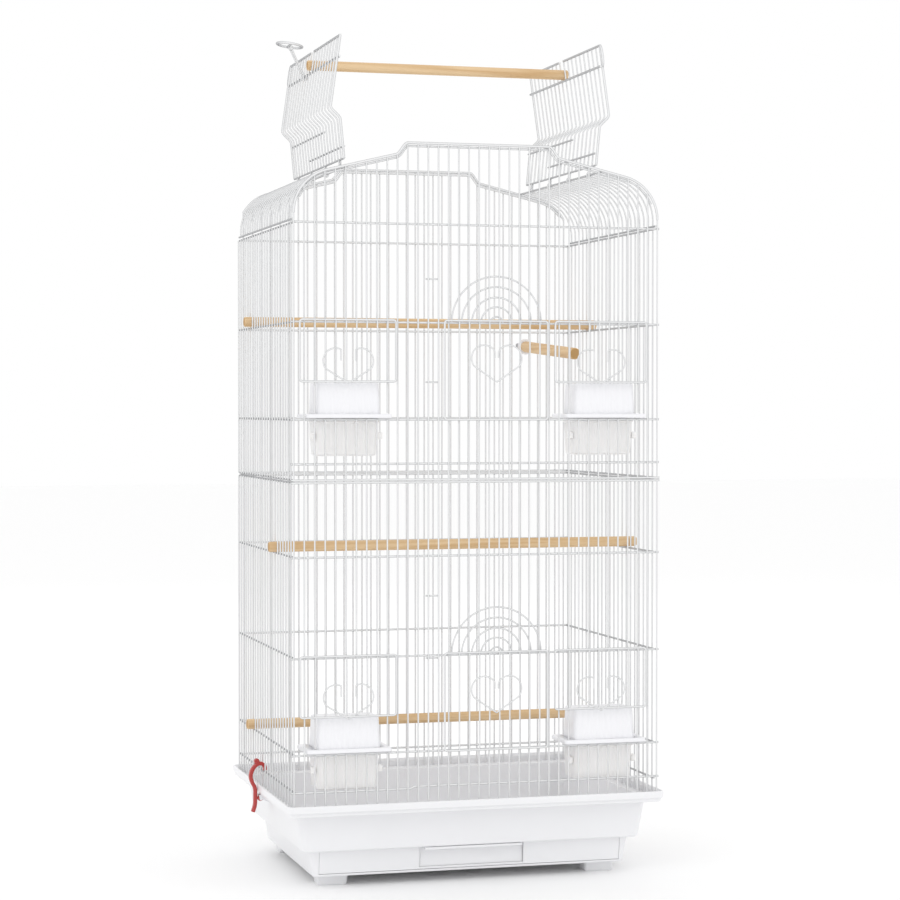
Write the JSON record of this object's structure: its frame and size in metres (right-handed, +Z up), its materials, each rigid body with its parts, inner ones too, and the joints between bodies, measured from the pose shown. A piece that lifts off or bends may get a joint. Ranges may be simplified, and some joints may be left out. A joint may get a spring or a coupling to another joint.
{
  "type": "bird cage",
  "caption": "Tall wire bird cage with an opening play roof, lift-up doors, hooded feeders, wooden perches and a moulded base with a drawer.",
  "frame": {"origin": "on the floor under the middle of the cage's bounding box", "axes": "+Z up, +X to the right seen from the front, -Y towards the front where the doors and the drawer are"},
  "size_m": [0.4702, 0.346, 0.9874],
  "materials": {
    "coated_wire": "smooth white powder coat over steel wire",
    "base_plastic": "pale cool white moulded plastic, soft gloss",
    "white_plastic": "bright white moulded plastic",
    "cup_plastic": "warm white translucent plastic",
    "perch_wood": "plain turned dowel, fine grain",
    "red_plastic": "red moulded plastic",
    "steel": "zinc-plated steel"
  },
  "bodies": {
    "cage": {"base_tub": "base_plastic", "front_panel_lower": "coated_wire", "front_panel_upper": "coated_wire", "back_panel_lower": "coated_wire", "back_panel_upper": "coated_wire", "left_panel_lower": "coated_wire", "left_panel_upper": "coated_wire", "right_panel_lower": "coated_wire", "right_panel_upper": "coated_wire", "roof_shoulder_left": "coated_wire", "roof_shoulder_right": "coated_wire", "short_perch": "perch_wood", "perch_bolt": "steel", "perch_washer_front": "white_plastic", "perch_washer_rear": "steel", "perch_wing_nut": "steel"},
    "drawer": {"drawer": "base_plastic"},
    "flap_left": {"roof_flap_left": "coated_wire"},
    "flap_right": {"roof_flap_right": "coated_wire"},
    "ring": {"ring_handle": "coated_wire"},
    "top_perch": {"top_perch": "perch_wood"},
    "perch_upper": {"perch_upper": "perch_wood"},
    "perch_middle": {"perch_middle": "perch_wood"},
    "perch_lower": {"perch_lower": "perch_wood"},
    "rim_latch_left": {"rim_latch_left": "red_plastic"},
    "rim_latch_right": {"rim_latch_right": "red_plastic"},
    "centre_door_upper": {"centre_door_upper": "coated_wire"},
    "feeder_door_upper_left": {"feeder_door_upper_left": "coated_wire"},
    "feeder_upper_left": {"feeder_hood_upper_left": "white_plastic", "feeder_cup_upper_left": "cup_plastic"},
    "feeder_door_upper_right": {"feeder_door_upper_right": "coated_wire"},
    "feeder_upper_right": {"feeder_hood_upper_right": "white_plastic", "feeder_cup_upper_right": "cup_plastic"},
    "centre_door_lower": {"centre_door_lower": "coated_wire"},
    "feeder_door_lower_left": {"feeder_door_lower_left": "coated_wire"},
    "feeder_lower_left": {"feeder_hood_lower_left": "white_plastic", "feeder_cup_lower_left": "cup_plastic"},
    "feeder_door_lower_right": {"feeder_door_lower_right": "coated_wire"},
    "feeder_lower_right": {"feeder_hood_lower_right": "white_plastic", "feeder_cup_lower_right": "cup_plastic"}
  },
  "joints": [
    {"name": "drawer_slide", "type": "slide", "parent": "cage", "child": "drawer", "axis": [0, -1, 0], "range_m": [0, 0.23]},
    {"name": "flap_left_hinge", "type": "hinge", "parent": "cage", "child": "flap_left", "pos_m": [-0.15, 0, 0.8205], "axis": [0, 1, 0], "range_deg": [-10, 82]},
    {"name": "flap_right_hinge", "type": "hinge", "parent": "cage", "child": "flap_right", "pos_m": [0.15, 0, 0.8205], "axis": [0, -1, 0], "range_deg": [-10, 82]},
    {"name": "ring_pivot", "type": "hinge", "parent": "flap_left", "child": "ring", "pos_m": [-0.15566, 0.0525, 0.9455], "axis": [0, 1, 0], "range_deg": [-90, 0]},
    {"name": "top_perch_lift", "type": "slide", "parent": "cage", "child": "top_perch", "axis": [0, 0, 1], "range_m": [0, 0.12]},
    {"name": "perch_upper_slide", "type": "slide", "parent": "cage", "child": "perch_upper", "axis": [1, 0, 0], "range_m": [-0.009, 0.009]},
    {"name": "perch_middle_slide", "type": "slide", "parent": "cage", "child": "perch_middle", "axis": [1, 0, 0], "range_m": [-0.009, 0.009]},
    {"name": "perch_lower_slide", "type": "slide", "parent": "cage", "child": "perch_lower", "axis": [1, 0, 0], "range_m": [-0.009, 0.009]},
    {"name": "centre_door_upper_lift", "type": "slide", "parent": "cage", "child": "centre_door_upper", "axis": [0, 0, 1], "range_m": [0, 0.095]},
    {"name": "feeder_door_upper_left_lift", "type": "slide", "parent": "cage", "child": "feeder_door_upper_left", "axis": [0, 0, 1], "range_m": [0, 0.065]},
    {"name": "feeder_upper_left_pull", "type": "slide", "parent": "cage", "child": "feeder_upper_left", "axis": [0, 1, 0], "range_m": [0, 0.035]},
    {"name": "feeder_door_upper_right_lift", "type": "slide", "parent": "cage", "child": "feeder_door_upper_right", "axis": [0, 0, 1], "range_m": [0, 0.065]},
    {"name": "feeder_upper_right_pull", "type": "slide", "parent": "cage", "child": "feeder_upper_right", "axis": [0, 1, 0], "range_m": [0, 0.035]},
    {"name": "centre_door_lower_lift", "type": "slide", "parent": "cage", "child": "centre_door_lower", "axis": [0, 0, 1], "range_m": [0, 0.095]},
    {"name": "feeder_door_lower_left_lift", "type": "slide", "parent": "cage", "child": "feeder_door_lower_left", "axis": [0, 0, 1], "range_m": [0, 0.065]},
    {"name": "feeder_lower_left_pull", "type": "slide", "parent": "cage", "child": "feeder_lower_left", "axis": [0, 1, 0], "range_m": [0, 0.035]},
    {"name": "feeder_door_lower_right_lift", "type": "slide", "parent": "cage", "child": "feeder_door_lower_right", "axis": [0, 0, 1], "range_m": [0, 0.065]},
    {"name": "feeder_lower_right_pull", "type": "slide", "parent": "cage", "child": "feeder_lower_right", "axis": [0, 1, 0], "range_m": [0, 0.035]},
    {"name": "rim_latch_left_pivot", "type": "hinge", "parent": "cage", "child": "rim_latch_left", "pos_m": [-0.221, 0.0075, 0.0832], "axis": [0, 1, 0], "range_deg": [-40, 0]},
    {"name": "rim_latch_right_pivot", "type": "hinge", "parent": "cage", "child": "rim_latch_right", "pos_m": [0.221, 0.0075, 0.0832], "axis": [0, -1, 0], "range_deg": [-40, 0]}
  ]
}
